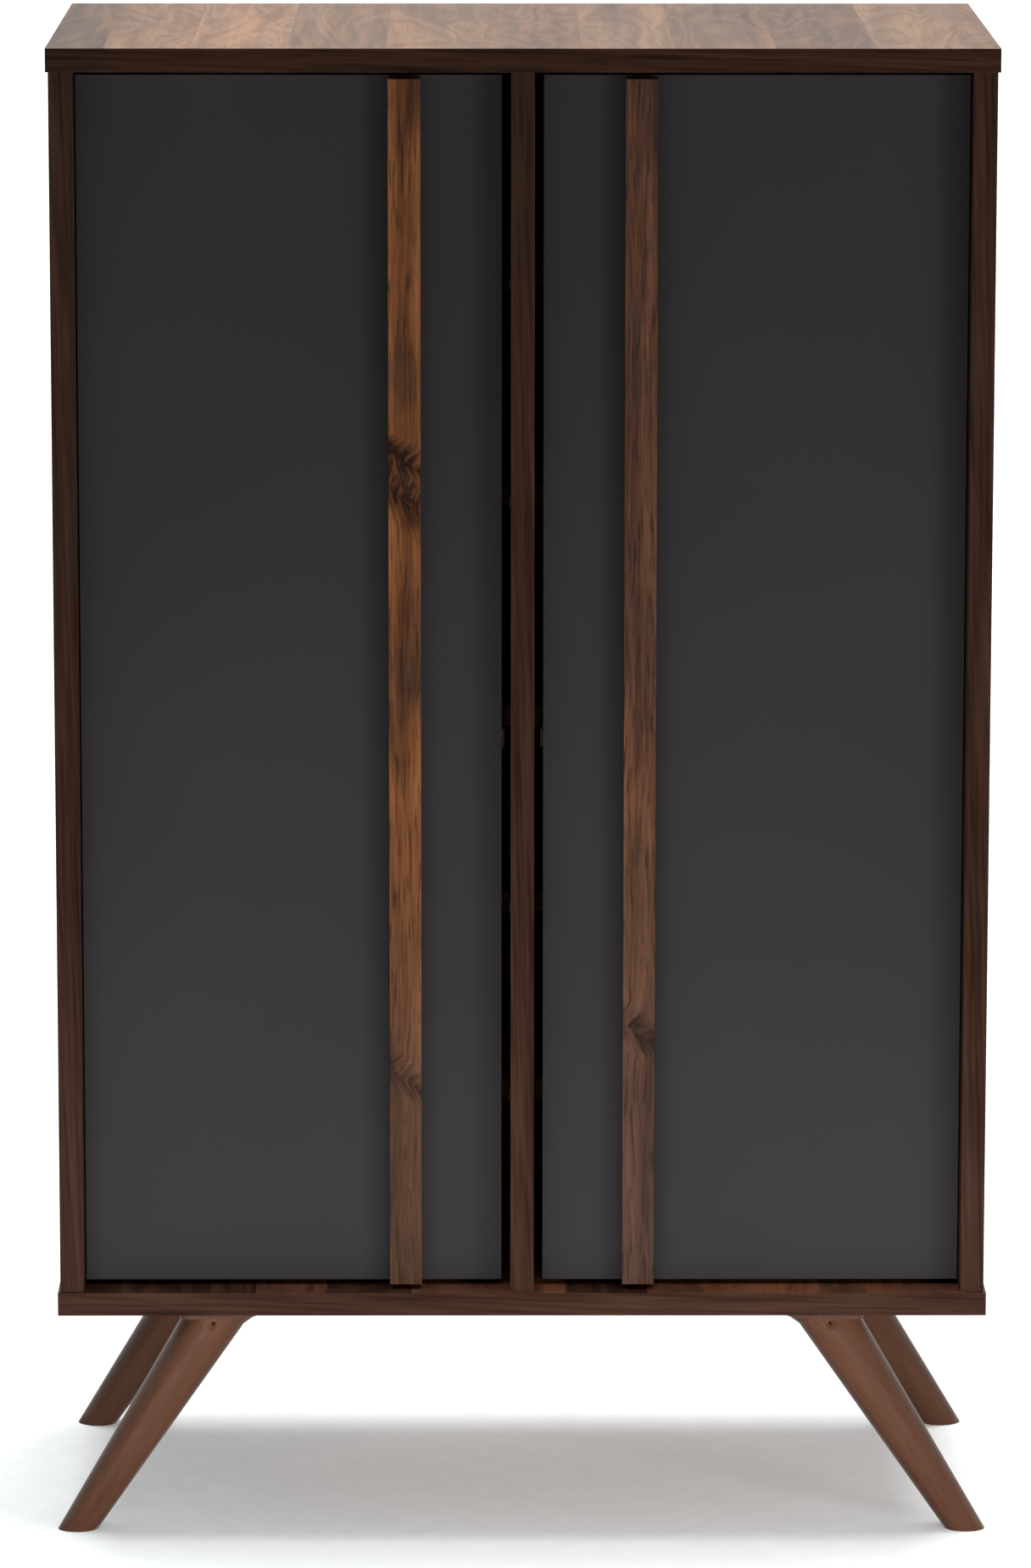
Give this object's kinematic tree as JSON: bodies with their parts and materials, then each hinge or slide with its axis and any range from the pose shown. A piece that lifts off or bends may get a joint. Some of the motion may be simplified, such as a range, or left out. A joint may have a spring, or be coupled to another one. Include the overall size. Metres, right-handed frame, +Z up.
{
  "type": "shoe cabinet",
  "caption": "Tall two-door shoe cabinet with inset grey doors, full-height wooden pull strips, inner shelves and splayed tapered legs.",
  "frame": {"origin": "on the floor, under the middle of the cabinet", "axes": "+X to the right seen from the front, front faces -Y, +Z up"},
  "size_m": [0.7278, 0.4, 1.166],
  "materials": {
    "top_laminate": "satin walnut-print laminate on chipboard",
    "carcase_laminate": "satin walnut-print laminate on chipboard",
    "back_board": "thin hardboard, printed brown",
    "door_laminate": "matte dark grey laminate on chipboard",
    "strip_wood": "satin reddish walnut",
    "leg_wood": "satin brown stained solid wood",
    "leg_plate": "satin brown stained solid wood",
    "dowel_wood": "plain beech",
    "nickel": "nickel plated",
    "zinc": "zinc plated",
    "dark_pin": "blackened steel",
    "catch_plastic": "brown moulded plastic"
  },
  "bodies": {
    "carcase": {"top_panel": "top_laminate", "bottom_panel": "carcase_laminate", "side_panel_left": "carcase_laminate", "side_panel_right": "carcase_laminate", "divider_panel": "carcase_laminate", "fixed_shelf_left": "carcase_laminate", "fixed_shelf_right": "carcase_laminate", "shelf_left_1": "carcase_laminate", "shelf_left_2": "carcase_laminate", "shelf_left_3": "carcase_laminate", "shelf_left_4": "carcase_laminate", "shelf_right_1": "carcase_laminate", "shelf_right_2": "carcase_laminate", "shelf_right_3": "carcase_laminate", "shelf_right_4": "carcase_laminate", "back_panel_left": "back_board", "back_panel_right": "back_board", "leg_front_left": "leg_wood", "leg_front_right": "leg_wood", "leg_rear_left": "leg_wood", "leg_rear_right": "leg_wood", "leg_plate_front_left": "leg_plate", "leg_plate_front_right": "leg_plate", "leg_plate_rear_left": "leg_plate", "leg_plate_rear_right": "leg_plate", "wood_dowels": "dowel_wood", "hinge_arms_left": "nickel", "hinge_arms_right": "nickel", "hinge_plates_left": "nickel", "hinge_plates_right": "nickel", "shelf_pins_left": "nickel", "shelf_pins_right": "nickel", "cam_locks": "zinc", "cam_bolts": "zinc", "back_nails": "zinc", "leg_plate_screws": "zinc", "leg_bolts": "zinc", "hinge_plate_screws_left": "zinc", "hinge_plate_screws_right": "zinc", "catch_screws": "zinc", "leg_lock_pins": "dark_pin", "catch_left": "catch_plastic", "catch_right": "catch_plastic"},
    "door_left": {"door_left": "door_laminate", "handle_strip_left": "strip_wood", "handle_screws_left": "zinc", "hinge_cups_left": "nickel", "hinge_cup_screws_left": "zinc", "strike_plate_left": "nickel"},
    "hinge_links_left": {"hinge_links_left": "nickel"},
    "door_right": {"door_right": "door_laminate", "handle_strip_right": "strip_wood", "handle_screws_right": "zinc", "hinge_cups_right": "nickel", "hinge_cup_screws_right": "zinc", "strike_plate_right": "nickel"},
    "hinge_links_right": {"hinge_links_right": "nickel"}
  },
  "joints": [
    {"name": "door_left_hinge", "type": "hinge", "parent": "carcase", "child": "door_left", "pos_m": [-0.3388, -0.172, 0.674], "axis": [0, 0, -1], "range_deg": [0, 90]},
    {"name": "hinge_links_left_turn", "type": "hinge", "parent": "carcase", "child": "hinge_links_left", "pos_m": [-0.3388, -0.172, 0.674], "axis": [0, 0, -1], "range_deg": [0, 45]},
    {"name": "door_right_hinge", "type": "hinge", "parent": "carcase", "child": "door_right", "pos_m": [0.3388, -0.172, 0.674], "axis": [0, 0, 1], "range_deg": [0, 90]},
    {"name": "hinge_links_right_turn", "type": "hinge", "parent": "carcase", "child": "hinge_links_right", "pos_m": [0.3388, -0.172, 0.674], "axis": [0, 0, 1], "range_deg": [0, 45]}
  ],
  "couplings": [
    {"joint": "hinge_links_left_turn", "follows": "door_left_hinge", "ratio": 0.5},
    {"joint": "hinge_links_right_turn", "follows": "door_right_hinge", "ratio": 0.5}
  ]
}
